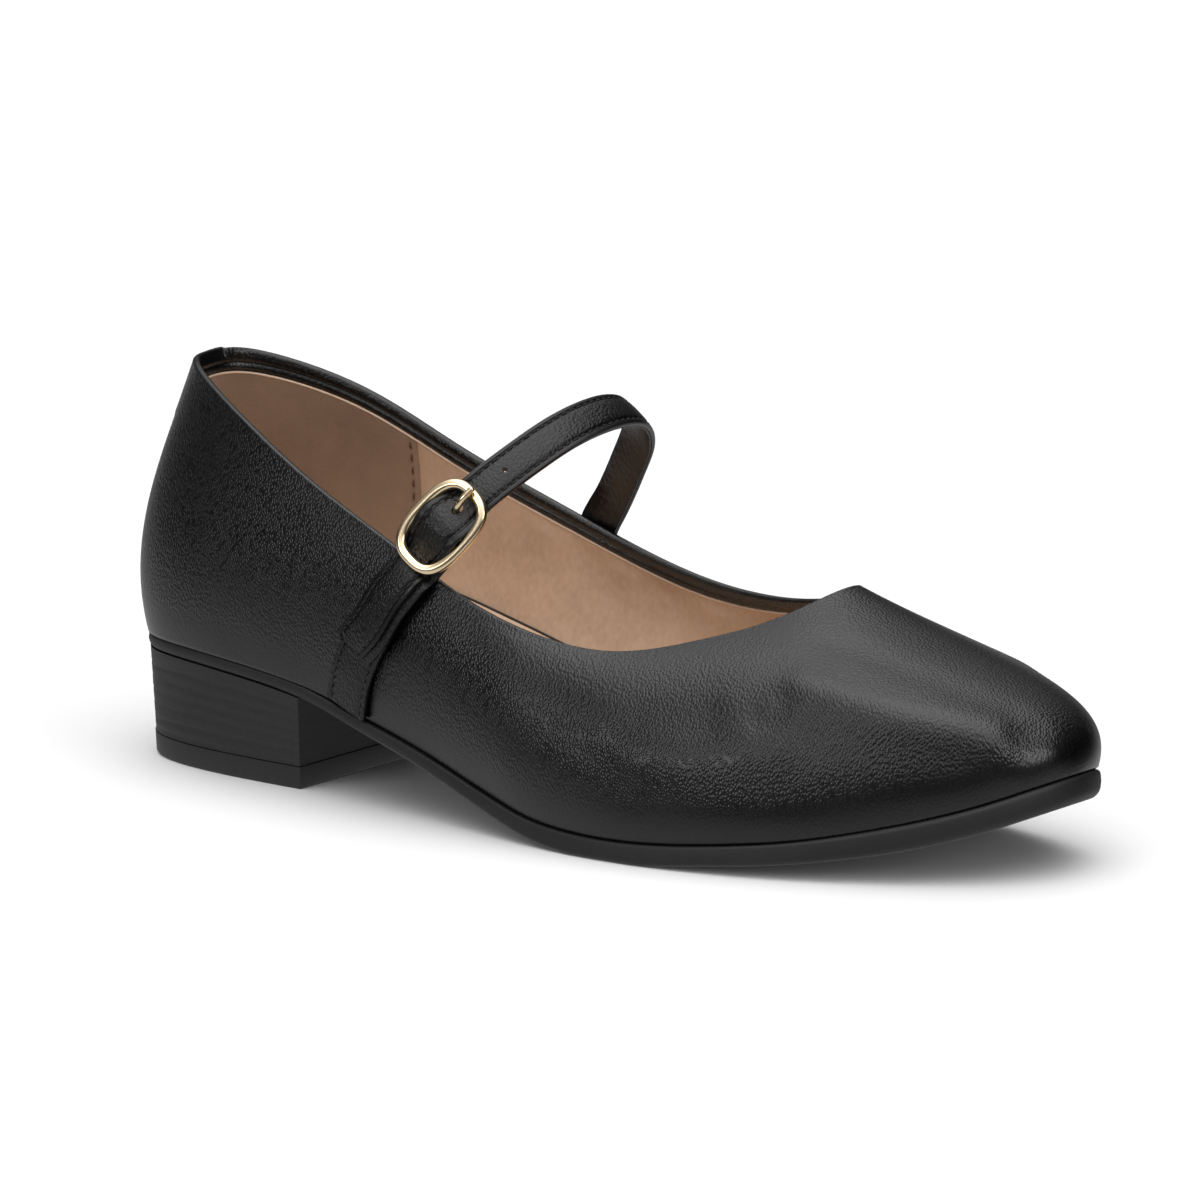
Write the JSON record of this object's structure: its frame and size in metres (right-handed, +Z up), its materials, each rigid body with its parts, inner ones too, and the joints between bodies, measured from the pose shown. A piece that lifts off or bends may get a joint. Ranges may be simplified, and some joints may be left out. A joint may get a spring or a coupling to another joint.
{
  "type": "mary jane pump",
  "caption": "Women's right-foot mary jane pump in black leather with a low block heel, an instep strap and a small oval buckle",
  "frame": {"origin": "floor point under the middle of the shoe's box", "axes": "+X from heel to toe, +Y to the inner (medial) side, +Z up from the floor"},
  "size_m": [0.248, 0.0882, 0.0919],
  "materials": {
    "upper_leather": "satin pebbled black",
    "strap_leather": "satin black",
    "lining": "matte beige",
    "elastic": "ribbed black",
    "buckle_metal": "polished pale gold",
    "sole_rubber": "matte black",
    "heel_stack": "satin black"
  },
  "bodies": {
    "root": {"upper": "upper_leather", "strap": "strap_leather", "strap_anchor": "strap_leather", "elastic_tab": "elastic", "buckle_frame": "buckle_metal", "buckle_prong": "buckle_metal", "insole": "lining", "outsole": "sole_rubber", "heel_block": "heel_stack", "top_piece": "sole_rubber"}
  },
  "joints": []
}
